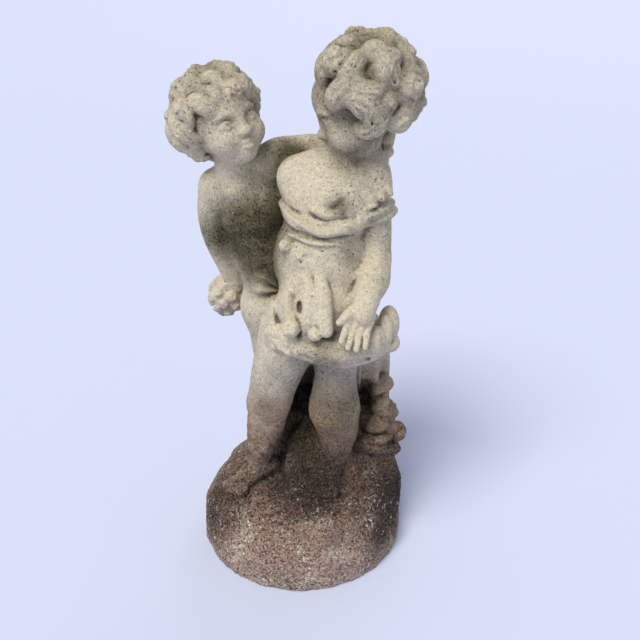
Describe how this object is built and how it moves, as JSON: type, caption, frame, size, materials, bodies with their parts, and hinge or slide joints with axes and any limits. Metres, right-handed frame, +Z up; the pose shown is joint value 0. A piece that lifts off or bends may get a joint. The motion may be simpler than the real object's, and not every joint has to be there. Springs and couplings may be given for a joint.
{
  "type": "cherub statue",
  "caption": "Cast-stone garden group of two curly-haired cherubs standing arm in arm on a round mound, the front one holding up an apron of flowers.",
  "frame": {"origin": "centre of the flat round underside, on the ground", "axes": "+Z up, the figures face -Y, and +X is to the right of someone looking at them from the front"},
  "size_m": [0.2996, 0.2755, 0.6829],
  "materials": {
    "stone": "weathered cast stone, pale greyish buff above and dirt-brown on the mound, rough and finely pitted"
  },
  "bodies": {
    "root": {"cherub_group": "stone"}
  },
  "joints": []
}
